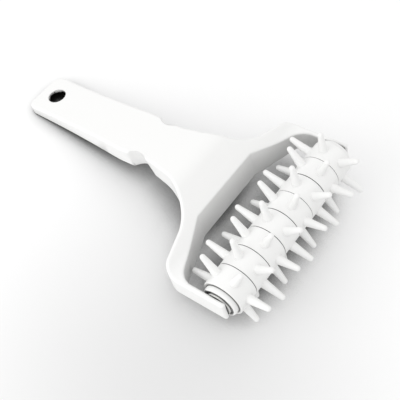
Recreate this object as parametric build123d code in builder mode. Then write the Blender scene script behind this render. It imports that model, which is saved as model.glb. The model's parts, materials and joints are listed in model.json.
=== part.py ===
"""Dough docker: a moulded fork handle that holds a free-running roller of eight spiked rings.

X runs along the roller, +Y points from the grip to the roller and +Z is up. The tool stands as it
does on a table, on its lowest spike and the edge of the grip's end, with the origin on the table
under the middle of its outline. Lengths are in millimetres.
"""
import os
from math import asin, atan2, cos, degrees, hypot, radians, sin, sqrt, tan

from build123d import *

# Spiked rings
ring_count = 8
ring_pitch = 13.8
ring_gap = 0.3
drum_radius = 12.35
ring_edge_round = 0.35
ring_rim = 2.6
ring_hub_wall = 1.8
ring_web = 4.6
spikes_per_ring = 6
spike_reach = 26.15
spike_root_radius = 2.8
spike_tip_radius = 1.6
spike_root_round = 0.4

# Square core that drives the rings, and how far each ring has settled within its play
core_width = 9.0
core_edge_round = 0.6
key_clearance = 0.3
ring_quarter_turn = 90.0
roller_turn = -9.3
ring_twist_shares = (-0.73, 0.43, -0.56, 0.88, 0.65, 0.16, -0.43, -0.43)
ring_shift_shares = (0.0, 0.0, 0.0, 0.0, -0.4, 0.4, -0.4, 0.4)

# Axle, end caps and washers
axle_radius = 2.0
axle_chamfer = 0.4
running_clearance = 0.08
cap_radius = 10.4
cap_thickness = 3.0
cap_edge_round = 1.0
cap_rim_wall = 1.4
cap_hub_radius = 7.2
cap_groove_depth = 2.0
cap_socket_depth = 1.5
cap_socket_clearance = 0.08
end_gap = 0.1
washer_radius = 7.6
washer_thickness = 0.9
washer_gap = 0.15

# Arms
arm_thickness = 3.1
arm_top = 7.4
arm_depth = 13.3
arm_nose = 6.8
arm_nose_round = 1.0
axle_seat_depth = 1.9
axle_seat_clearance = 0.05

# Yoke, seen from above and from the side
bay_depth = 35.8
bay_half = 25.5
bay_corner_round = 3.0
bay_slope = 20.3
arm_inner_round = 10.0
arm_outer_round = 10.0
shoulder_slope = 12.8
slope_angle = 40.7
slope_back = 41.0
slope_height = 19.2
slope_round = 14.0
belly_start = 62.0
belly_end = 38.5
belly_round = 9.0

# Grip
grip_end = 183.0
grip_height = 29.1
grip_end_depth = 5.6
shoulder_depth = 12.2
neck_depth = 14.1
grip_end_half = 15.2
grip_waist_half = 14.75
grip_waist_back = 140.0
grip_shoulder_half = 16.2
grip_shoulder_back = 99.0
neck_half = 15.0
neck_back = 75.0
neck_round = 18.0
fork_half = 21.4
yoke_width = 7.1
fork_round = 30.0
grip_corner_round = 5.3
edge_round = 1.5

# Finger scallops
scallop_radius = 9.0
scallop_half = 12.6
scallop_back = 85.8
scallop_lean = 13.5
scallop_pitch = 11.0

# Shell and ribs
shell_wall = 2.4
top_wall = 2.0
rib_thickness = 1.6
rib_recess = 1.4
rib_pitch = 17.0
hang_rib_gap = 12.0

# Hanging hole
hang_hole_radius = 5.85
hang_hole_back = 169.4

overrun = 2.0

# What follows from them
stack_half = ring_count * ring_pitch / 2
cap_face = stack_half + cap_thickness
arm_inner = cap_face + washer_thickness + 2 * washer_gap
arm_outer = arm_inner + arm_thickness
core_half = stack_half + cap_socket_depth - end_gap
seat_radius = axle_radius + axle_seat_clearance
bore_radius = axle_radius + running_clearance
key_width = core_width + 2 * key_clearance
twist_limit = degrees(asin(key_width / (sqrt(2) * core_width))) - 45
ring_width = ring_pitch - ring_gap
hub_width = key_width + 2 * ring_hub_wall
socket_width = core_width + 2 * cap_socket_clearance
spike_step = 360 / spikes_per_ring


def ring_angle(index):
    """The turn of one ring about the axle: every other ring sits a quarter turn on."""
    quarter = ring_quarter_turn * ((index + 1) % 2)
    return roller_turn + quarter + twist_limit * ring_twist_shares[index % len(ring_twist_shares)]


def ring_place(index):
    """Where the middle of one ring lies along the axle, counted from the +X end."""
    shift = ring_shift_shares[index % len(ring_shift_shares)] * ring_gap / 2
    return ((ring_count - 1) / 2 - index) * ring_pitch + shift


def spike_angles():
    """The direction of every spike of the roller, in degrees from +Y towards +Z."""
    return [
        ring_angle(index) + step * spike_step
        for index in range(ring_count)
        for step in range(spikes_per_ring)
    ]


# The axle's height is set by the spike that reaches lowest, and the handle's tilt by the grip's end,
# whose lower edge lies on the table.
tip_centre = spike_reach - spike_tip_radius
spike_start = drum_radius - ring_rim / 2
spike_taper = asin((spike_root_radius - spike_tip_radius) / (tip_centre - spike_start))
spike_root = (spike_start + spike_root_radius * sin(spike_taper), spike_root_radius * cos(spike_taper))
tip_start = (tip_centre + spike_tip_radius * sin(spike_taper), spike_tip_radius * cos(spike_taper))
tip_middle = (tip_centre + spike_tip_radius / sqrt(2), spike_tip_radius / sqrt(2))
axle_height = max(spike_tip_radius - tip_centre * sin(radians(angle)) for angle in spike_angles())
front_reach = max(spike_tip_radius + tip_centre * cos(radians(angle)) for angle in spike_angles())
end_low = grip_height - grip_end_depth
tilt = degrees(asin(axle_height / hypot(grip_end, end_low)) + atan2(end_low, grip_end))
end_centre_back = (grip_end - edge_round) * cos(radians(tilt))
end_centre_back += (grip_height - edge_round) * sin(radians(tilt))
rear_reach = end_centre_back + edge_round
axle_y = (rear_reach - front_reach) / 2
axle_centre = (0, axle_y, axle_height)

# The handle is drawn on planes of its own: one along its length and one across its thickness, both
# through the middle of the axle.
handle_along = (0, cos(radians(tilt)), sin(radians(tilt)))
handle_up = (0, -sin(radians(tilt)), cos(radians(tilt)))
plan = Plane(origin=axle_centre, x_dir=(1, 0, 0), z_dir=handle_up)
side = Plane(origin=axle_centre, x_dir=handle_along, z_dir=(1, 0, 0))
roller_plane = Plane(origin=axle_centre, x_dir=(0, 1, 0), z_dir=(1, 0, 0))

# Corners of the handle's side view, counted forward and up from the axle
slope = tan(radians(slope_angle))
crest_back = slope_back + (grip_height - slope_height) / slope
fork_back = bay_depth + yoke_width
foot_back = slope_back - (slope_height - arm_top) / slope
arm_low = arm_top - arm_depth
shoulder_low = grip_height - shoulder_depth
neck_low = grip_height - neck_depth
below = arm_low - overrun - grip_height
facing_share = 0.1
first_rib = hang_hole_back - hang_hole_radius - hang_rib_gap
rib_count = 1 + int((first_rib - bay_depth - shell_wall) / rib_pitch)


def corners_at(sketch, across, along):
    """The two corners of a sketch that lie at one place and at its mirror image."""
    return [
        corner
        for corner in sketch.vertices()
        if hypot(abs(corner.X) - across, corner.Y - along) < shell_wall / 2
    ]


def plan_outline():
    """The handle's outline seen from above: one half, mirrored, with its corners rounded."""
    arm_root = (arm_inner - bay_half) * tan(radians(bay_slope)) - bay_depth
    shoulder_tip = (arm_outer - fork_half) * tan(radians(shoulder_slope)) - fork_back
    with BuildSketch() as outline:
        with BuildLine():
            Line((0, -grip_end), (grip_end_half, -grip_end))
            ThreePointArc(
                (grip_end_half, -grip_end),
                (grip_waist_half, -grip_waist_back),
                (grip_shoulder_half, -grip_shoulder_back),
            )
            Polyline(
                (grip_shoulder_half, -grip_shoulder_back),
                (neck_half, -neck_back),
                (fork_half, -fork_back),
                (arm_outer, shoulder_tip),
                (arm_outer, arm_nose + overrun),
                (arm_inner, arm_nose + overrun),
                (arm_inner, arm_root),
                (bay_half, -bay_depth),
                (0, -bay_depth),
            )
            mirror(about=Plane.YZ)
        make_face()
        fillet(corners_at(outline, grip_end_half, -grip_end), radius=grip_corner_round)
        fillet(corners_at(outline, neck_half, -neck_back), radius=neck_round)
        fillet(corners_at(outline, fork_half, -fork_back), radius=fork_round)
        fillet(corners_at(outline, arm_outer, shoulder_tip), radius=arm_outer_round)
        fillet(corners_at(outline, arm_inner, arm_root), radius=arm_inner_round)
        fillet(corners_at(outline, bay_half, -bay_depth), radius=bay_corner_round)
    return outline.sketch


def upper_line(drop):
    """The handle's top seen from the side, from the grip's end to the arm's nose."""
    with BuildLine() as line:
        FilletPolyline(
            (-grip_end - overrun, grip_height - drop),
            (-crest_back, grip_height - drop),
            (-foot_back, arm_top - drop),
            (arm_nose, arm_top - drop),
            radius=slope_round,
        )
    return line.line


def side_outline(lift=0):
    """The handle seen from the side, with its underside raised by a lift."""
    with BuildSketch() as outline:
        with BuildLine():
            add(upper_line(0))
            Line((arm_nose, arm_top), (arm_nose, arm_low + lift))
            FilletPolyline(
                (arm_nose, arm_low + lift),
                (-belly_end, arm_low + lift),
                (-belly_start, neck_low + lift),
                (-grip_shoulder_back, shoulder_low + lift),
                (-grip_end, end_low + lift),
                radius=belly_round,
            )
            Polyline(
                (-grip_end, end_low + lift),
                (-grip_end - overrun, end_low + lift),
                (-grip_end - overrun, grip_height),
            )
        make_face()
        fillet(corners_at(outline, arm_nose, arm_top), radius=arm_nose_round)
        fillet(corners_at(outline, arm_nose, arm_low + lift), radius=arm_nose_round)
    return outline.sketch


def under_outline(drop):
    """Everything under the handle's top, seen from the side, from a drop below it down."""
    with BuildSketch() as outline:
        with BuildLine():
            add(upper_line(drop))
            Polyline(
                (arm_nose, arm_top - drop),
                (arm_nose, below),
                (-grip_end - overrun, below),
                (-grip_end - overrun, grip_height - drop),
            )
        make_face()
    return outline.sketch


def rim_edges(part, direction):
    """The edges round the faces of a part that look one way, without those between two of them."""
    faces = [face for face in part.faces() if face.normal_at().dot(Vector(*direction)) > facing_share]
    edges = [edge for face in faces for edge in face.edges()]
    return [edge for edge in edges if edges.count(edge) == 1]


def scallop_planes():
    """The tilted planes that the finger scallops' cylinders stand on, one each side."""
    lean = radians(scallop_lean)
    pitch = radians(scallop_pitch)
    planes = []
    for hand in (1, -1):
        centre = Vector(hand * (scallop_half + scallop_radius / cos(lean)), -scallop_back, grip_height)
        axis = Vector(hand * sin(lean), -sin(pitch), cos(lean))
        planes.append(
            Plane(
                origin=plan.from_local_coords(centre),
                z_dir=plan.from_local_coords(centre + axis) - plan.from_local_coords(centre),
            )
        )
    return planes


# Hollow under the handle's top, inside its skirts
with BuildPart() as hollow:
    with BuildSketch(side):
        add(under_outline(top_wall))
    extrude(amount=arm_outer, both=True)
    with BuildSketch(plan.offset(below)):
        add(plan_outline())
        offset(amount=-shell_wall)
    extrude(amount=3 * grip_height, mode=Mode.INTERSECT)
    for plane in scallop_planes():
        with BuildSketch(plane):
            Circle(scallop_radius + shell_wall)
        extrude(amount=2 * grip_height, both=True, mode=Mode.SUBTRACT)

# Ribs across the hollow
with BuildPart() as ribs:
    with BuildSketch(side):
        add(side_outline(rib_recess))
    extrude(amount=arm_outer, both=True)
    with BuildSketch(side):
        add(under_outline(top_wall / 2))
    extrude(amount=arm_outer, both=True, mode=Mode.INTERSECT)
    with BuildSketch(plan.offset(below)):
        add(plan_outline())
        offset(amount=-shell_wall / 2)
    extrude(amount=3 * grip_height, mode=Mode.INTERSECT)
    for plane in scallop_planes():
        with BuildSketch(plane):
            Circle(scallop_radius + shell_wall / 2)
        extrude(amount=2 * grip_height, both=True, mode=Mode.SUBTRACT)
    with BuildSketch(plan.offset(below)):
        with Locations([(0, -first_rib + step * rib_pitch) for step in range(rib_count)]):
            Rectangle(2 * arm_outer, rib_thickness)
    extrude(amount=3 * grip_height, mode=Mode.INTERSECT)

# One-piece handle: grip, yoke and arms
with BuildPart() as handle:
    with BuildSketch(side):
        add(side_outline())
    extrude(amount=arm_outer + overrun, both=True)
    with BuildSketch(plan.offset(below)):
        add(plan_outline())
    extrude(amount=3 * grip_height, mode=Mode.INTERSECT)
    fillet(rim_edges(handle.part, handle_up), radius=edge_round)
    for plane in scallop_planes():
        with BuildSketch(plane):
            Circle(scallop_radius)
        extrude(amount=2 * grip_height, both=True, mode=Mode.SUBTRACT)
    add(hollow.part, mode=Mode.SUBTRACT)
    add(ribs.part)
    with BuildSketch(plan.offset(grip_height + overrun)):
        with Locations((0, -hang_hole_back)):
            Circle(hang_hole_radius)
    extrude(amount=-grip_height, mode=Mode.SUBTRACT)
    for hand in (1, -1):
        with BuildSketch(side.offset(hand * arm_inner)):
            Circle(seat_radius)
        extrude(amount=hand * axle_seat_depth, mode=Mode.SUBTRACT)
handle.part.label = "handle"

# Steel axle, with its ends in the arms' blind seats
with BuildPart() as axle:
    with BuildSketch(roller_plane):
        Circle(axle_radius)
    extrude(amount=arm_inner + axle_seat_depth - end_gap, both=True)
    chamfer(axle.edges().filter_by(GeomType.CIRCLE), length=axle_chamfer)
axle.part.label = "axle"

# Square core that carries the rings and turns on the axle
with BuildPart() as roller_core:
    with BuildSketch(roller_plane):
        RectangleRounded(core_width, core_width, core_edge_round, rotation=roller_turn)
        Circle(bore_radius, mode=Mode.SUBTRACT)
    extrude(amount=core_half, both=True)
roller_core.part.label = "roller_core"

# One blunt spike, along X from inside the ring's rim
with BuildPart() as spike:
    with BuildSketch():
        with BuildLine():
            Line(spike_root, tip_start)
            ThreePointArc(tip_start, tip_middle, (spike_reach, 0))
            Polyline((spike_reach, 0), (spike_root[0], 0), spike_root)
        make_face()
    revolve(axis=Axis.X)

# One ring about the origin: rim, square hub, web between them and spikes
with BuildPart() as ring:
    with BuildSketch(Plane.XY.rotated((0, 0, spike_step / 2))):
        Circle(drum_radius)
    extrude(amount=ring_width / 2, both=True)
    fillet(ring.edges().filter_by(GeomType.CIRCLE), radius=ring_edge_round)
    for hand in (1, -1):
        with BuildSketch(Plane.XY.offset(hand * ring_web / 2)):
            Circle(drum_radius - ring_rim)
            Rectangle(hub_width, hub_width, mode=Mode.SUBTRACT)
        extrude(amount=hand * ring_width, mode=Mode.SUBTRACT)
    with BuildSketch():
        Rectangle(key_width, key_width)
    extrude(amount=ring_width, both=True, mode=Mode.SUBTRACT)
    with PolarLocations(0, spikes_per_ring):
        add(spike.part)
    fillet(ring.edges().filter_by(GeomType.BSPLINE), radius=spike_root_round)

os.makedirs("parts", exist_ok=True)
for piece in (handle.part, axle.part, roller_core.part):
    export_step(piece, f"parts/{piece.label}.step")

# Rings along the core
for index in range(ring_count):
    place = Location(roller_plane.offset(ring_place(index))) * Location((0, 0, 0), (0, 0, ring_angle(index)))
    with BuildPart() as spiked_ring:
        with Locations(place):
            add(ring.part)
    spiked_ring.part.label = f"spiked_ring_{index + 1}"
    export_step(spiked_ring.part, f"parts/{spiked_ring.part.label}.step")

# End caps, socketed onto the core and turning with it, each with a groove between its rim and its hub
for hand, name in ((-1, "left"), (1, "right")):
    inner_face = roller_plane.offset(hand * stack_half)
    with BuildPart() as end_cap:
        with BuildSketch(inner_face):
            Circle(cap_radius)
        extrude(amount=hand * cap_thickness)
        outer_rim = [edge for edge in end_cap.edges() if abs(edge.center().X) > stack_half]
        fillet(outer_rim, radius=cap_edge_round)
        with BuildSketch(roller_plane.offset(hand * cap_face)):
            Circle(cap_radius - cap_rim_wall)
            Circle(cap_hub_radius, mode=Mode.SUBTRACT)
        extrude(amount=-hand * cap_groove_depth, mode=Mode.SUBTRACT)
        with BuildSketch(inner_face):
            RectangleRounded(socket_width, socket_width, core_edge_round, rotation=roller_turn)
        extrude(amount=hand * cap_socket_depth, mode=Mode.SUBTRACT)
        with BuildSketch(inner_face):
            Circle(bore_radius)
        extrude(amount=hand * 2 * cap_thickness, mode=Mode.SUBTRACT)
    end_cap.part.label = f"end_cap_{name}"
    export_step(end_cap.part, f"parts/{end_cap.part.label}.step")

# Washers on the axle, between the end caps and the arms
for hand, name in ((-1, "left"), (1, "right")):
    with BuildPart() as washer:
        with BuildSketch(roller_plane.offset(hand * (cap_face + washer_gap))):
            Circle(washer_radius)
            Circle(bore_radius, mode=Mode.SUBTRACT)
        extrude(amount=hand * washer_thickness)
    washer.part.label = f"washer_{name}"
    export_step(washer.part, f"parts/{washer.part.label}.step")
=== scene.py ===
"""Looks of the dough docker, laid out as an add-on.

One operator dresses each group of pieces, and one sets the stage.
"""
import json
import math

import bmesh
import bpy
from mathutils import Matrix, Vector

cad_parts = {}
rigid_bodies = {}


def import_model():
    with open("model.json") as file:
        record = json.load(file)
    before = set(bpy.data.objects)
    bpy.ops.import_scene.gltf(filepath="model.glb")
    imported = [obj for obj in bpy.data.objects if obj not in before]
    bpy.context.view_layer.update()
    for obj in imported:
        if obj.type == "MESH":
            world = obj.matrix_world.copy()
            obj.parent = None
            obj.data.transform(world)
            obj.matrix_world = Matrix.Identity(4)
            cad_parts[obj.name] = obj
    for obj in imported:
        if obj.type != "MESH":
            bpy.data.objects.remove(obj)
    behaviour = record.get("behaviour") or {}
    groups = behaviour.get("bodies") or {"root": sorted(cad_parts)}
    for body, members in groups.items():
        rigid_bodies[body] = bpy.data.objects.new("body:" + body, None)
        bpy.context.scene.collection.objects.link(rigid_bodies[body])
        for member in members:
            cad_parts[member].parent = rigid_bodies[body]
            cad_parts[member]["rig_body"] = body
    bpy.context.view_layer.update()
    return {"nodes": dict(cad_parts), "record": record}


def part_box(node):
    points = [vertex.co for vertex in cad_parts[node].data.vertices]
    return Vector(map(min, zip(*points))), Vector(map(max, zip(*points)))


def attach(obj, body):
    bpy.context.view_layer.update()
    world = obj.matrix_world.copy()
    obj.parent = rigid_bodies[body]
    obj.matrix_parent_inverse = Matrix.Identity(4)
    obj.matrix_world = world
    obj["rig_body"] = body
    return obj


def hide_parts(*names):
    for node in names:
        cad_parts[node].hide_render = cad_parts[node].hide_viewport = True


bl_info = {
    "name": "Dough Docker",
    "version": (1, 0, 0),
    "blender": (4, 5, 0),
    "location": "View3D > Sidebar > Dough Docker",
    "description": "Dresses the dough docker in moulded plastic and sets its studio",
    "category": "Object",
}

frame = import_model()

MM = 0.001
RINGS = [name for name in sorted(frame["nodes"]) if name.startswith("spiked_ring_")]

# The square core's side, and that of the square holes in which the rings turn a little on it
CORE_SIDE = 9.0 * MM
SOCKET_SIDE = 9.6 * MM

# A moulding's sheen: its patches, the span of the pattern that counts, and its swing in roughness
SHEEN_PATCH = 9 * MM
SHEEN_DETAIL = 3.0
SHEEN_BREAK = 0.55
SHEEN_SPAN = (0.3, 0.7)
SHEEN_SWING = (-0.04, 0.05)
# Waves of its cooled wall, and the mould's fine grain, which is drawn coarser than real to show
WAVE_LENGTH = 14 * MM
WAVE_DETAIL = 1.0
WAVE_STRENGTH = 0.12
WAVE_HEIGHT = 0.25 * MM
GRAIN_SIZE = 0.5 * MM
GRAIN_DETAIL = 2.0
GRAIN_STRENGTH = 0.06
GRAIN_HEIGHT = 0.03 * MM
PLASTIC_IOR = 1.49
# Tool marks of a turned rod: fine along it and long round it
MARK_PITCH = 0.2 * MM
MARK_LENGTH = 8 * MM
MARK_DETAIL = 3.0
MARK_STRENGTH = 0.2
MARK_HEIGHT = 0.01 * MM
STEEL_ROUGHNESS = (0.22, 0.42)
# Open share of the half-space over a point, from where painted shade is full to where it ends
CREASE_SHADE_SPAN = (0.3, 0.78)
WALL_SHADE_SPAN = (0.15, 0.75)
CONTACT_SPAN = (0.2, 0.95)
SHADOW_SPAN = (0.28, 0.64)
EASE_SAMPLES = 6
SHUT_SAMPLES = 16

# Points of a mesh closer than this become one, and large faces rule the normals at their corners
MERGE_GAP = 0.001 * MM
FACE_WEIGHT = 100

# The stage: the floor's sides, the sky's white, the camera's film in millimetres and its near end
FLOOR_SIDES = 96
WHITE = (1.0, 1.0, 1.0, 1.0)
SENSOR_WIDTH = 36.0
NEAREST_VIEW = 0.01


def linear(hex_colour):
    """A hex sRGB colour as linear red, green, blue and alpha, by the sRGB curve."""
    parts = [int(hex_colour[start : start + 2], 16) / 255 for start in (1, 3, 5)]
    curved = [c / 12.92 if c <= 0.04045 else ((c + 0.055) / 1.055) ** 2.4 for c in parts]
    return (*curved, 1.0)


def add_node(tree, kind, settings=None, values=None, links=None):
    """Adds a node with its settings, its sockets' values and the links into it."""
    node = tree.nodes.new(kind)
    for name, value in (settings or {}).items():
        setattr(node, name, value)
    for name, value in (values or {}).items():
        node.inputs[name].default_value = value
    for name, source in (links or {}).items():
        tree.links.new(source, node.inputs[name])
    return node


def shut_in(tree, tone, reach, kept, span):
    """Painted shade: a tone that keeps less of itself where faces within reach shut out more of
    the light.
    """
    shut_most, shut_least = span
    open_share = add_node(
        tree, "ShaderNodeAmbientOcclusion", {"samples": SHUT_SAMPLES}, {"Distance": reach}
    ).outputs["AO"]
    share = add_node(
        tree,
        "ShaderNodeMapRange",
        values={"From Min": shut_most, "From Max": shut_least, "To Min": kept, "To Max": 1.0},
        links={"Value": open_share},
    ).outputs["Result"]
    return add_node(
        tree,
        "ShaderNodeMix",
        {"data_type": "RGBA", "blend_type": "MULTIPLY"},
        {0: 1.0},
        {6: tone, 7: share},
    ).outputs[2]


def new_material(name):
    """A new node material, and its node tree with nothing in it."""
    material = bpy.data.materials.new(name)
    material.use_nodes = True
    material.node_tree.nodes.clear()
    return material, material.node_tree


def moulded_plastic(name, colour, gloss, ease, painted_shades):
    """Injection-moulded polypropylene: a clean white with a soft, slightly uneven sheen.

    The mould's polish leaves the skin not quite even, so the sheen breaks up a little, and the
    cooling wall pulls the skin into waves too shallow to see except in what they reflect.
    """
    material, tree = new_material(name)
    place = add_node(tree, "ShaderNodeTexCoord").outputs["Object"]
    # Cloudy sheen
    clouds = add_node(
        tree,
        "ShaderNodeTexNoise",
        values={"Scale": 1 / SHEEN_PATCH, "Detail": SHEEN_DETAIL, "Roughness": SHEEN_BREAK},
        links={"Vector": place},
    )
    sheen = add_node(
        tree,
        "ShaderNodeMapRange",
        values={
            "From Min": SHEEN_SPAN[0],
            "From Max": SHEEN_SPAN[1],
            "To Min": gloss + SHEEN_SWING[0],
            "To Max": gloss + SHEEN_SWING[1],
        },
        links={"Value": clouds.outputs["Fac"]},
    )
    # Waves of the cooled wall, and the mould's grain
    waves = add_node(
        tree,
        "ShaderNodeTexNoise",
        values={"Scale": 1 / WAVE_LENGTH, "Detail": WAVE_DETAIL},
        links={"Vector": place},
    )
    grain = add_node(
        tree,
        "ShaderNodeTexNoise",
        values={"Scale": 1 / GRAIN_SIZE, "Detail": GRAIN_DETAIL},
        links={"Vector": place},
    )
    # Edges of a moulding are never sharp: the light runs round them over a millimetre or so
    eased = add_node(
        tree, "ShaderNodeBevel", {"samples": EASE_SAMPLES}, {"Radius": ease}
    ).outputs["Normal"]
    wavy = add_node(
        tree,
        "ShaderNodeBump",
        values={"Strength": WAVE_STRENGTH, "Distance": WAVE_HEIGHT},
        links={"Height": waves.outputs["Fac"], "Normal": eased},
    )
    skin = add_node(
        tree,
        "ShaderNodeBump",
        values={"Strength": GRAIN_STRENGTH, "Distance": GRAIN_HEIGHT},
        links={"Height": grain.outputs["Fac"], "Normal": wavy.outputs["Normal"]},
    )
    # Painted shade: the colour darkens where nearby faces shut out the light, in corners and near
    # other walls
    tone = add_node(tree, "ShaderNodeRGB").outputs[0]
    tone.default_value = linear(colour)
    for reach, kept, span in painted_shades:
        tone = shut_in(tree, tone, reach, kept, span)
    plastic = add_node(
        tree,
        "ShaderNodeBsdfPrincipled",
        values={"IOR": PLASTIC_IOR},
        links={
            "Base Color": tone,
            "Roughness": sheen.outputs["Result"],
            "Normal": skin.outputs["Normal"],
        },
    )
    add_node(tree, "ShaderNodeOutputMaterial", links={"Surface": plastic.outputs["BSDF"]})
    return material


def turned_steel(name, colour):
    """Bright-drawn steel rod: a grey metal with fine lines round it from the turning tool."""
    material, tree = new_material(name)
    place = add_node(tree, "ShaderNodeTexCoord").outputs["Object"]
    along = add_node(
        tree,
        "ShaderNodeMapping",
        values={"Scale": (1 / MARK_PITCH, 1 / MARK_LENGTH, 1 / MARK_LENGTH)},
        links={"Vector": place},
    )
    lines = add_node(
        tree,
        "ShaderNodeTexNoise",
        values={"Scale": 1.0, "Detail": MARK_DETAIL},
        links={"Vector": along.outputs["Vector"]},
    )
    polish = add_node(
        tree,
        "ShaderNodeMapRange",
        values={"To Min": STEEL_ROUGHNESS[0], "To Max": STEEL_ROUGHNESS[1]},
        links={"Value": lines.outputs["Fac"]},
    )
    cut = add_node(
        tree,
        "ShaderNodeBump",
        values={"Strength": MARK_STRENGTH, "Distance": MARK_HEIGHT},
        links={"Height": lines.outputs["Fac"]},
    )
    steel = add_node(
        tree,
        "ShaderNodeBsdfPrincipled",
        values={"Base Color": linear(colour), "Metallic": 1.0},
        links={"Roughness": polish.outputs["Result"], "Normal": cut.outputs["Normal"]},
    )
    add_node(tree, "ShaderNodeOutputMaterial", links={"Surface": steel.outputs["BSDF"]})
    return material


def merged_copy(node, name, crease):
    """A merged, smooth-shaded copy of a CAD node, crisp at edges sharper than the crease."""
    work = bmesh.new()
    work.from_mesh(frame["nodes"][node].data)
    bmesh.ops.remove_doubles(work, verts=work.verts, dist=MERGE_GAP)
    mesh = bpy.data.meshes.new(name)
    work.to_mesh(mesh)
    work.free()
    mesh.materials.clear()
    for face in mesh.polygons:
        face.material_index = 0
    mesh.shade_smooth()
    mesh.set_sharp_from_angle(angle=math.radians(crease))
    return mesh


def plain_piece(piece):
    """Bakes a piece's modifiers into a plain mesh whose flat faces shade flat."""
    weigh = piece.modifiers.new("even_normals", "WEIGHTED_NORMAL")
    weigh.keep_sharp = True
    weigh.weight = FACE_WEIGHT
    bpy.context.view_layer.update()
    graph = bpy.context.evaluated_depsgraph_get()
    finished = bpy.data.meshes.new_from_object(piece.evaluated_get(graph))
    finished.name = piece.name
    piece.modifiers.clear()
    piece.data = finished


def dressed_copy(node, name, material, crease):
    """A copy of a CAD node in one material, which stands for the node and rides on its body."""
    mesh = merged_copy(node, name, crease)
    mesh.materials.append(material)
    piece = bpy.data.objects.new(name, mesh)
    bpy.context.scene.collection.objects.link(piece)
    plain_piece(piece)
    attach(piece, frame["nodes"][node]["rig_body"])
    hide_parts(node)
    return piece


def ring_stack_tree():
    """Sets rings on points a pitch apart along X, each shifted and turned by its own play."""
    tree = bpy.data.node_groups.new("ring_stack", "GeometryNodeTree")
    for name, kind, way in (
        ("Rings", "NodeSocketGeometry", "INPUT"),
        ("Ring", "NodeSocketObject", "INPUT"),
        ("Ring Pitch", "NodeSocketFloat", "INPUT"),
        ("Ring Count", "NodeSocketInt", "INPUT"),
        ("Axle", "NodeSocketVector", "INPUT"),
        ("Plastic", "NodeSocketMaterial", "INPUT"),
        ("Rings", "NodeSocketGeometry", "OUTPUT"),
    ):
        tree.interface.new_socket(name=name, in_out=way, socket_type=kind)
    given = add_node(tree, "NodeGroupInput").outputs
    index = add_node(tree, "GeometryNodeInputIndex").outputs["Index"]
    shift, turn = (
        add_node(
            tree, "GeometryNodeInputNamedAttribute", {"data_type": "FLOAT"}, {"Name": name}
        ).outputs["Attribute"]
        for name in ("ring_shift", "ring_turn")
    )
    # Rings to either side of the stack's middle: half of one less than the count
    middle = add_node(
        tree,
        "ShaderNodeMath",
        {"operation": "MULTIPLY_ADD"},
        {1: 0.5, 2: -0.5},
        {0: given["Ring Count"]},
    ).outputs[0]
    steps = add_node(
        tree, "ShaderNodeMath", {"operation": "SUBTRACT"}, links={0: middle, 1: index}
    ).outputs[0]
    place = add_node(
        tree,
        "ShaderNodeMath",
        {"operation": "MULTIPLY_ADD"},
        links={0: steps, 1: given["Ring Pitch"], 2: shift},
    ).outputs[0]
    along = add_node(tree, "ShaderNodeCombineXYZ", links={"X": place}).outputs[0]
    centre = add_node(
        tree, "ShaderNodeVectorMath", {"operation": "ADD"}, links={0: along, 1: given["Axle"]}
    ).outputs[0]
    points = add_node(
        tree, "GeometryNodeSetPosition", links={"Geometry": given["Rings"], "Position": centre}
    ).outputs["Geometry"]
    ring = add_node(
        tree, "GeometryNodeObjectInfo", links={"Object": given["Ring"]}
    ).outputs["Geometry"]
    turned = add_node(
        tree,
        "FunctionNodeAxisAngleToRotation",
        values={"Axis": (1.0, 0.0, 0.0)},
        links={"Angle": turn},
    ).outputs["Rotation"]
    rings = add_node(
        tree,
        "GeometryNodeInstanceOnPoints",
        links={"Points": points, "Instance": ring, "Rotation": turned},
    ).outputs["Instances"]
    real = add_node(
        tree, "GeometryNodeRealizeInstances", links={"Geometry": rings}
    ).outputs["Geometry"]
    coated = add_node(
        tree, "GeometryNodeSetMaterial", links={"Geometry": real, "Material": given["Plastic"]}
    ).outputs["Geometry"]
    add_node(tree, "NodeGroupOutput", links={"Rings": coated})
    return tree


def set_inputs(modifier, values):
    """Sets a Geometry Nodes modifier's inputs, each by its socket's identifier."""
    for socket in modifier.node_group.interface.items_tree:
        if socket.in_out == "INPUT" and socket.name in values:
            modifier[socket.identifier] = values[socket.name]


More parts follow.
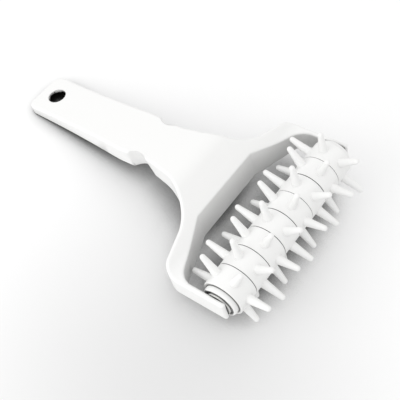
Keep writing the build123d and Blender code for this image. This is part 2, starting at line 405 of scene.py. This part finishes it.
class DoughDockerLooks(bpy.types.PropertyGroup):
    """Colours and finishes of the object's pieces, and the shade painted into their colour."""

    handle_colour: bpy.props.StringProperty(
        name="Handle Colour",
        description="Colour of the moulded handle, as a hex sRGB value",
        default="#F1F1F0",
    )
    handle_gloss: bpy.props.FloatProperty(
        name="Handle Roughness",
        description="Roughness of the moulded handle's skin",
        default=0.36,
        min=0.0,
        max=1.0,
        subtype="FACTOR",
    )
    roller_colour: bpy.props.StringProperty(
        name="Roller Colour",
        description="Colour of the rings, caps and core, as a hex sRGB value",
        default="#F2F2F1",
    )
    roller_gloss: bpy.props.FloatProperty(
        name="Roller Roughness",
        description="Roughness of the rings' skin",
        default=0.4,
        min=0.0,
        max=1.0,
        subtype="FACTOR",
    )
    handle_ease: bpy.props.FloatProperty(
        name="Handle Edge Ease",
        description="Radius over which the handle's edges are eased",
        default=1.2 * MM,
        unit="LENGTH",
        precision=4,
    )
    roller_ease: bpy.props.FloatProperty(
        name="Roller Edge Ease",
        description="Radius over which the roller's edges are eased",
        default=0.3 * MM,
        unit="LENGTH",
        precision=4,
    )
    # Painted shade: the colour darkens in corners and creases by how much light they shut out
    crease_shade_reach: bpy.props.FloatProperty(
        name="Dust Reach",
        description="How wide the corners are in which a faint grey stays",
        default=2.6 * MM,
        unit="LENGTH",
        precision=4,
    )
    crease_shade_depth: bpy.props.FloatProperty(
        name="Dust Depth",
        description="How much of its colour the plastic keeps in the deepest corners",
        default=0.3,
        min=0.0,
        max=1.0,
        subtype="FACTOR",
    )
    # Painted shade: the handle's colour darkens near other walls by how much light they shut out
    wall_shade_reach: bpy.props.FloatProperty(
        name="Film Reach",
        description="How near other walls must be for the handle's walls to keep a grey film",
        default=32.0 * MM,
        unit="LENGTH",
        precision=4,
    )
    wall_shade_depth: bpy.props.FloatProperty(
        name="Film Depth",
        description="How much of its colour the handle keeps where that film is thickest",
        default=0.5,
        min=0.0,
        max=1.0,
        subtype="FACTOR",
    )
    washer_colour: bpy.props.StringProperty(
        name="Washer Colour",
        description="Colour of the nylon washers, as a hex sRGB value",
        default="#EFEFEC",
    )
    washer_gloss: bpy.props.FloatProperty(
        name="Washer Roughness",
        description="Roughness of the nylon washers' skin",
        default=0.5,
        min=0.0,
        max=1.0,
        subtype="FACTOR",
    )
    axle_colour: bpy.props.StringProperty(
        name="Axle Colour",
        description="Colour of the steel axle, as a hex sRGB value",
        default="#C6C6C8",
    )
    crease: bpy.props.FloatProperty(
        name="Crease Angle",
        description="Edges sharper than this stay crisp, in degrees",
        default=28.0,
        min=0.0,
        max=180.0,
    )


class DoughDockerStack(bpy.types.PropertyGroup):
    """How the spiked rings sit on the square core."""

    ring_pitch: bpy.props.FloatProperty(
        name="Ring Pitch",
        description="Distance from one ring to the next",
        default=13.8 * MM,
        unit="LENGTH",
        precision=4,
    )
    roller_turn: bpy.props.FloatProperty(
        name="Roller Turn",
        description="Turn of the whole roller about its axle",
        default=math.radians(-9.3),
        subtype="ANGLE",
    )
    quarter_turn: bpy.props.FloatProperty(
        name="Quarter Turn",
        description="Turn of every other ring on the square core",
        default=math.radians(90.0),
        subtype="ANGLE",
    )
    turn_play: bpy.props.FloatProperty(
        name="Turn Play",
        description="How far a ring can turn either way on the square core",
        default=math.asin(SOCKET_SIDE / CORE_SIDE / math.sqrt(2)) - math.radians(45.0),
        subtype="ANGLE",
    )
    turn_shares: bpy.props.FloatVectorProperty(
        name="Turn Shares",
        description="Share of the play that each ring has turned, from the +X end",
        size=8,
        default=(-0.73, 0.43, -0.56, 0.88, 0.65, 0.16, -0.43, -0.43),
    )
    shift_play: bpy.props.FloatProperty(
        name="Shift Play",
        description="How far a ring can slide either way along the core",
        default=0.15 * MM,
        unit="LENGTH",
        precision=5,
    )
    shift_shares: bpy.props.FloatVectorProperty(
        name="Shift Shares",
        description="Share of the play that each ring has slid, from the +X end",
        size=8,
        default=(0.0, 0.0, 0.0, 0.0, -0.4, 0.4, -0.4, 0.4),
    )


class DoughDockerStudio(bpy.types.PropertyGroup):
    """Sizes, colours and strengths of the stage."""

    floor_colour: bpy.props.StringProperty(
        name="Floor Colour",
        description="Colour of the floor, as a hex sRGB value",
        default="#FAFAFA",
    )
    # Painted shade: the floor's colour greys towards a place beside the object and fades back over
    # a spread
    floor_shade_colour: bpy.props.StringProperty(
        name="Floor Grey",
        description="Colour of the floor where it is greyest, as a hex sRGB value",
        default="#E1E1E1",
    )
    floor_shade_place: bpy.props.FloatVectorProperty(
        name="Grey Place",
        description="Where the floor is greyest",
        default=(0.11, 0.08, 0.0),
        subtype="TRANSLATION",
        unit="LENGTH",
    )
    floor_shade_spread: bpy.props.FloatProperty(
        name="Grey Reach",
        description="How far the floor's grey spreads",
        default=0.18,
        unit="LENGTH",
    )
    floor_bounce: bpy.props.StringProperty(
        name="Floor Bounce",
        description="Colour of the floor's light on the object, as a hex sRGB value",
        default="#E0E0E0",
    )
    # Painted shadow: the paper's colour darkens where the object nearly touches it and shuts out
    # the sky
    contact_reach: bpy.props.FloatProperty(
        name="Contact Reach",
        description="How far from the object the paper's contact shadow reaches",
        default=0.012,
        unit="LENGTH",
    )
    contact_depth: bpy.props.FloatProperty(
        name="Contact Depth",
        description="How much light the paper keeps right under the object",
        default=0.5,
        min=0.0,
        max=1.0,
        subtype="FACTOR",
    )
    shadow_reach: bpy.props.FloatProperty(
        name="Shadow Reach",
        description="How far up the object shuts out the light over its shadow",
        default=0.05,
        unit="LENGTH",
    )
    shadow_depth: bpy.props.FloatProperty(
        name="Shadow Depth",
        description="How much light the paper keeps where the object shuts out most of it",
        default=0.035,
        min=0.0,
        max=1.0,
        subtype="FACTOR",
    )
    floor_radius: bpy.props.FloatProperty(
        name="Floor Radius",
        description="Radius of the round floor",
        default=6.0,
        unit="LENGTH",
    )
    sky_strength: bpy.props.FloatProperty(
        name="Sky Strength",
        description="Strength of the even light from all round",
        default=0.93,
    )
    window_power: bpy.props.FloatProperty(
        name="Window Power",
        description="Power of the large soft light, in watts",
        default=0.3,
    )
    window_size: bpy.props.FloatProperty(
        name="Window Size",
        description="Side of the large soft light",
        default=0.9,
        unit="LENGTH",
    )
    window_place: bpy.props.FloatVectorProperty(
        name="Window Place",
        description="Where the large soft light hangs",
        default=(-0.7, -0.1, 0.75),
        subtype="TRANSLATION",
        unit="LENGTH",
    )
    front_power: bpy.props.FloatProperty(
        name="Front Power",
        description="Power of the soft light beside the camera, in watts",
        default=0.7,
    )
    front_place: bpy.props.FloatVectorProperty(
        name="Front Place",
        description="Where the soft light beside the camera hangs",
        default=(0.25, 0.1, 1.0),
        subtype="TRANSLATION",
        unit="LENGTH",
    )
    side_power: bpy.props.FloatProperty(
        name="Side Power",
        description="Power of the low soft light on the near side, in watts",
        default=3.5,
    )
    side_place: bpy.props.FloatVectorProperty(
        name="Side Place",
        description="Where the low soft light on the near side stands",
        default=(0.85, -0.45, 0.38),
        subtype="TRANSLATION",
        unit="LENGTH",
    )
    camera_place: bpy.props.FloatVectorProperty(
        name="Camera Place",
        description="Where the camera stands",
        default=(0.17063, 0.14973, 0.37218),
        subtype="TRANSLATION",
        unit="LENGTH",
        precision=5,
    )
    camera_way: bpy.props.FloatVectorProperty(
        name="Camera Way",
        description="The direction that the camera looks in",
        default=(-0.39304, -0.29162, -0.87205),
        subtype="DIRECTION",
        precision=5,
    )
    camera_lens: bpy.props.FloatProperty(
        name="Camera Lens",
        description="Focal length in millimetres",
        default=63.1,
    )


class DOCKER_OT_handle(bpy.types.Operator):
    """Dresses the one-piece handle"""

    bl_idname = "docker.handle"
    bl_label = "Handle"

    def execute(self, context):
        looks = context.scene.docker_looks
        plastic = moulded_plastic(
            "moulded_polypropylene_handle",
            looks.handle_colour,
            looks.handle_gloss,
            looks.handle_ease,
            (
                (looks.crease_shade_reach, looks.crease_shade_depth, CREASE_SHADE_SPAN),
                (looks.wall_shade_reach, looks.wall_shade_depth, WALL_SHADE_SPAN),
            ),
        )
        piece = dressed_copy("handle", "moulded_handle", plastic, looks.crease)
        return {"FINISHED"}


class DOCKER_OT_rings(bpy.types.Operator):
    """Stacks the spiked rings on the core, each turned and shifted by its play"""

    bl_idname = "docker.rings"
    bl_label = "Spiked Rings"

    def execute(self, context):
        looks = context.scene.docker_looks
        stack = context.scene.docker_stack
        plastic = moulded_plastic(
            "moulded_polypropylene_rings",
            looks.roller_colour,
            looks.roller_gloss,
            looks.roller_ease,
            ((looks.crease_shade_reach, looks.crease_shade_depth, CREASE_SHADE_SPAN),),
        )
        axle = Vector(frame["record"]["behaviour"]["joints"][0]["pos_m"])
        quarters = (stack.quarter_turn * ((index + 1) % 2) for index in range(len(RINGS)))
        turns = [
            stack.roller_turn + quarter + stack.turn_play * share
            for quarter, share in zip(quarters, stack.turn_shares)
        ]

        # One ring, brought back to the origin and unturned
        low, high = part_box(RINGS[0])
        centre = Vector(((low[0] + high[0]) / 2, axle.y, axle.z))
        shape = merged_copy(RINGS[0], "one_ring", looks.crease)
        shape.transform(Matrix.Rotation(-turns[0], 4, "X") @ Matrix.Translation(-centre))
        one_ring = bpy.data.objects.new("one_ring", shape)
        context.scene.collection.objects.link(one_ring)

        # A point for each ring, with its play
        mesh = bpy.data.meshes.new("moulded_rings")
        mesh.from_pydata([(0.0, 0.0, 0.0)] * len(RINGS), [], [])
        mesh.attributes.new("ring_turn", "FLOAT", "POINT").data.foreach_set("value", turns)
        shifts = [stack.shift_play * share for share in stack.shift_shares]
        mesh.attributes.new("ring_shift", "FLOAT", "POINT").data.foreach_set("value", shifts)
        piece = bpy.data.objects.new("moulded_rings", mesh)
        context.scene.collection.objects.link(piece)
        stacking = piece.modifiers.new("ring_stack", "NODES")
        stacking.node_group = ring_stack_tree()
        values = {
            "Ring": one_ring,
            "Ring Pitch": stack.ring_pitch,
            "Ring Count": len(RINGS),
            "Axle": axle,
            "Plastic": plastic,
        }
        set_inputs(stacking, values)
        plain_piece(piece)
        bpy.data.objects.remove(one_ring)
        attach(piece, "roller")
        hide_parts(*RINGS)
        return {"FINISHED"}


class DOCKER_OT_running_gear(bpy.types.Operator):
    """Dresses the core, end caps, washers and axle"""

    bl_idname = "docker.running_gear"
    bl_label = "Core, Caps, Washers and Axle"

    def execute(self, context):
        looks = context.scene.docker_looks
        plastic = moulded_plastic(
            "moulded_polypropylene_core",
            looks.roller_colour,
            looks.roller_gloss,
            looks.roller_ease,
            ((looks.crease_shade_reach, looks.crease_shade_depth, CREASE_SHADE_SPAN),),
        )
        nylon = moulded_plastic(
            "punched_nylon_washer",
            looks.washer_colour,
            looks.washer_gloss,
            looks.roller_ease,
            ((looks.crease_shade_reach, looks.crease_shade_depth, CREASE_SHADE_SPAN),),
        )
        steel = turned_steel("bright_drawn_steel", looks.axle_colour)
        for node, material, slot in (
            ("roller_core", plastic, "roller_plastic"),
            ("end_cap_left", plastic, "roller_plastic"),
            ("end_cap_right", plastic, "roller_plastic"),
            ("washer_left", nylon, "washer_nylon"),
            ("washer_right", nylon, "washer_nylon"),
            ("axle", steel, "axle_steel"),
        ):
            piece = dressed_copy(node, "dressed_" + node, material, looks.crease)
        return {"FINISHED"}


class DOCKER_OT_stage(bpy.types.Operator):
    """Sets the floor, the light and the camera"""

    bl_idname = "docker.stage"
    bl_label = "Stage"

    def execute(self, context):
        studio = context.scene.docker_studio
        self.floor(context, studio)
        self.light(context, studio)
        self.camera(context, studio)
        context.scene.view_settings.view_transform = "Standard"
        return {"FINISHED"}

    def seen_rays(self, tree):
        """One for what the camera sees, straight or in a reflection, and nought for lighting."""
        path = add_node(tree, "ShaderNodeLightPath").outputs
        seen = path["Is Camera Ray"]
        for reflected in (path["Is Glossy Ray"], path["Is Transmission Ray"]):
            seen = add_node(
                tree, "ShaderNodeMath", {"operation": "MAXIMUM"}, links={0: seen, 1: reflected}
            ).outputs[0]
        return seen

    def floor(self, context, studio):
        """A round pale floor that the object lies on."""
        material, tree = new_material("matt_paper_floor")
        seen = self.seen_rays(tree)
        # Painted shade: the paper's colour greys a little on the near side of the object, and
        # fades back to white round it
        place = add_node(tree, "ShaderNodeTexCoord").outputs["Object"]
        away = add_node(
            tree,
            "ShaderNodeVectorMath",
            {"operation": "DISTANCE"},
            {1: Vector(studio.floor_shade_place)},
            {0: place},
        ).outputs["Value"]
        floor_shade_share = add_node(
            tree,
            "ShaderNodeMapRange",
            {"interpolation_type": "SMOOTHSTEP"},
            {"From Max": studio.floor_shade_spread, "To Min": 1.0, "To Max": 0.0},
            {"Value": away},
        ).outputs["Result"]
        painted_shade_tint = add_node(
            tree,
            "ShaderNodeMix",
            {"data_type": "RGBA"},
            {6: linear(studio.floor_colour), 7: linear(studio.floor_shade_colour)},
            {0: floor_shade_share},
        ).outputs[2]
        tone = add_node(
            tree,
            "ShaderNodeMix",
            {"data_type": "RGBA"},
            {6: linear(studio.floor_bounce)},
            {0: seen, 7: painted_shade_tint},
        ).outputs[2]
        # Painted shadow on the paper: its colour darkens to a dark line where the object nearly
        # touches it, and to a deep shade where the object shuts out most of the sky
        for reach, kept, span in (
            (studio.contact_reach, studio.contact_depth, CONTACT_SPAN),
            (studio.shadow_reach, studio.shadow_depth, SHADOW_SPAN),
        ):
            tone = shut_in(tree, tone, reach, kept, span)
        paper = add_node(tree, "ShaderNodeBsdfDiffuse", links={"Color": tone})
        add_node(tree, "ShaderNodeOutputMaterial", links={"Surface": paper.outputs["BSDF"]})
        work = bmesh.new()
        bmesh.ops.create_circle(
            work, cap_ends=True, segments=FLOOR_SIDES, radius=studio.floor_radius
        )
        mesh = bpy.data.meshes.new("floor")
        work.to_mesh(mesh)
        work.free()
        mesh.materials.append(material)
        floor = bpy.data.objects.new("floor", mesh)
        context.scene.collection.objects.link(floor)

    def light(self, context, studio):
        """An even pale sky, a low soft light on the near side, and two weak ones higher up."""
        world = bpy.data.worlds.new("studio")
        world.use_nodes = True
        tree = world.node_tree
        tree.nodes.clear()
        seen = self.seen_rays(tree)
        sky = add_node(
            tree,
            "ShaderNodeBackground",
            values={"Color": WHITE, "Strength": studio.sky_strength},
        )
        backdrop = add_node(
            tree,
            "ShaderNodeBackground",
            values={"Color": WHITE, "Strength": 1.0},
        )
        both = add_node(
            tree,
            "ShaderNodeMixShader",
            links={0: seen, 1: sky.outputs["Background"], 2: backdrop.outputs["Background"]},
        )
        add_node(tree, "ShaderNodeOutputWorld", links={"Surface": both.outputs["Shader"]})
        context.scene.world = world

        for name, power, place in (
            ("window", studio.window_power, Vector(studio.window_place)),
            ("front", studio.front_power, Vector(studio.front_place)),
            ("side", studio.side_power, Vector(studio.side_place)),
        ):
            lamp = bpy.data.lights.new(name, "AREA")
            lamp.shape = "SQUARE"
            lamp.size = studio.window_size
            lamp.energy = power
            holder = bpy.data.objects.new(name, lamp)
            turn = (-place).to_track_quat("-Z", "Y").to_matrix().to_4x4()
            holder.matrix_world = Matrix.Translation(place) @ turn
            context.scene.collection.objects.link(holder)

    def camera(self, context, studio):
        """The camera at the photograph's place and angle."""
        data = bpy.data.cameras.new("camera")
        data.lens = studio.camera_lens
        data.sensor_width = SENSOR_WIDTH
        data.clip_start = NEAREST_VIEW
        camera = bpy.data.objects.new("camera", data)
        turn = Vector(studio.camera_way).to_track_quat("-Z", "Y").to_matrix().to_4x4()
        camera.matrix_world = Matrix.Translation(Vector(studio.camera_place)) @ turn
        context.scene.collection.objects.link(camera)
        context.scene.camera = camera


class DOCKER_PT_panel(bpy.types.Panel):
    """Lists the object's operators in the sidebar"""

    bl_idname = "DOCKER_PT_panel"
    bl_label = "Dough Docker"
    bl_space_type = "VIEW_3D"
    bl_region_type = "UI"
    bl_category = "Dough Docker"

    def draw(self, context):
        for operator in OPERATORS:
            self.layout.operator(operator.bl_idname)


OPERATORS = (DOCKER_OT_handle, DOCKER_OT_rings, DOCKER_OT_running_gear, DOCKER_OT_stage)
CLASSES = (
    DoughDockerLooks,
    DoughDockerStack,
    DoughDockerStudio,
    *OPERATORS,
    DOCKER_PT_panel,
)


def register():
    for entry in CLASSES:
        bpy.utils.register_class(entry)
    bpy.types.Scene.docker_looks = bpy.props.PointerProperty(type=DoughDockerLooks)
    bpy.types.Scene.docker_stack = bpy.props.PointerProperty(type=DoughDockerStack)
    bpy.types.Scene.docker_studio = bpy.props.PointerProperty(type=DoughDockerStudio)


def unregister():
    del bpy.types.Scene.docker_studio
    del bpy.types.Scene.docker_stack
    del bpy.types.Scene.docker_looks
    for entry in reversed(CLASSES):
        bpy.utils.unregister_class(entry)


def main():
    register()
    bpy.ops.docker.stage()
    bpy.ops.docker.handle()
    bpy.ops.docker.rings()
    bpy.ops.docker.running_gear()


if __name__ == "__main__":
    main()
